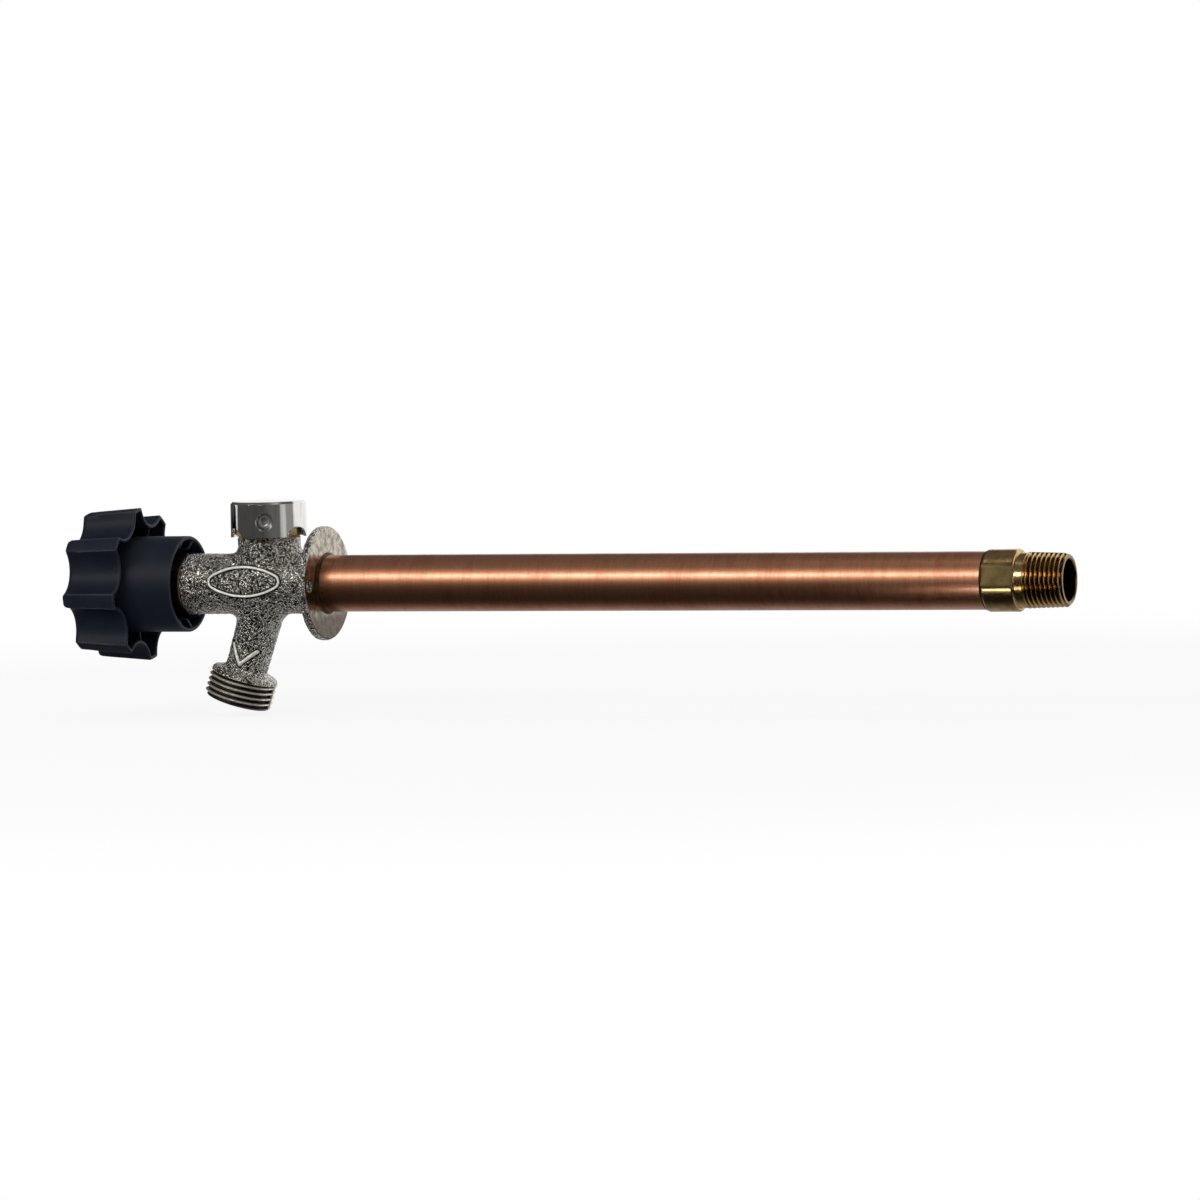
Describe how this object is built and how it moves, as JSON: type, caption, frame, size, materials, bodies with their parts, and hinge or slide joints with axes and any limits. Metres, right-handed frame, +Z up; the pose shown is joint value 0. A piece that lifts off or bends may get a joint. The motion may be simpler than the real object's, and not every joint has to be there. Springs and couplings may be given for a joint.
{
  "type": "frost free sillcock",
  "caption": "Wall hydrant with a long copper tube, far inlet valve, lobed knob, hose thread spout and vacuum breaker",
  "frame": {"origin": "centre of the flange's wall face, on the axis of the supply tube and midway between the two wall screw holes", "axes": "+X along the supply tube into the house, +Z up, toward the vacuum breaker; the knob is at -X"},
  "size_m": [0.4075, 0.0606, 0.0826],
  "materials": {
    "nickel_casting": "rough cast brass, nickel plated",
    "copper": "drawn copper, brushed round",
    "brass": "turned brass",
    "packing": "graphited packing",
    "fibre": "pressed fibre",
    "chrome_cap": "polished chrome plate",
    "steel": "stainless steel",
    "white_plastic": "moulded acetal",
    "rubber": "moulded rubber",
    "dark_plastic": "moulded satin plastic, navy black"
  },
  "bodies": {
    "valve": {"body": "nickel_casting", "supply_tube": "copper", "inlet_fitting": "brass", "cam_bush": "brass", "packing_washer": "brass", "packing_rings": "packing", "packing_nut": "brass", "nut_gasket": "fibre", "vb_gasket": "fibre", "vb_bonnet": "brass", "vb_cap": "chrome_cap", "vb_cap_screw": "steel"},
    "float": {"vb_float": "white_plastic", "vb_float_seal": "rubber"},
    "guide": {"stem_guide": "white_plastic"},
    "stem": {"spindle": "brass", "cam_pin": "steel", "stem_rod": "copper", "stem_tip": "brass", "thrust_washer": "brass", "seat_washer": "rubber", "washer_screw": "brass", "handle": "dark_plastic", "handle_washer": "steel", "handle_screw": "steel"}
  },
  "joints": [
    {"name": "stem_travel", "type": "slide", "parent": "valve", "child": "guide", "axis": [-1, 0, 0], "range_m": [0, 0.006]},
    {"name": "handle_turn", "type": "hinge", "parent": "guide", "child": "stem", "pos_m": [0, 0, 0], "axis": [-1, 0, 0], "range_deg": [0, 180]},
    {"name": "float_lift", "type": "slide", "parent": "valve", "child": "float", "axis": [0, 0, 1], "range_m": [0, 0.0024]}
  ],
  "couplings": [
    {"joint": "stem_travel", "follows": "handle_turn", "m_per_rad": 0.0019099}
  ]
}
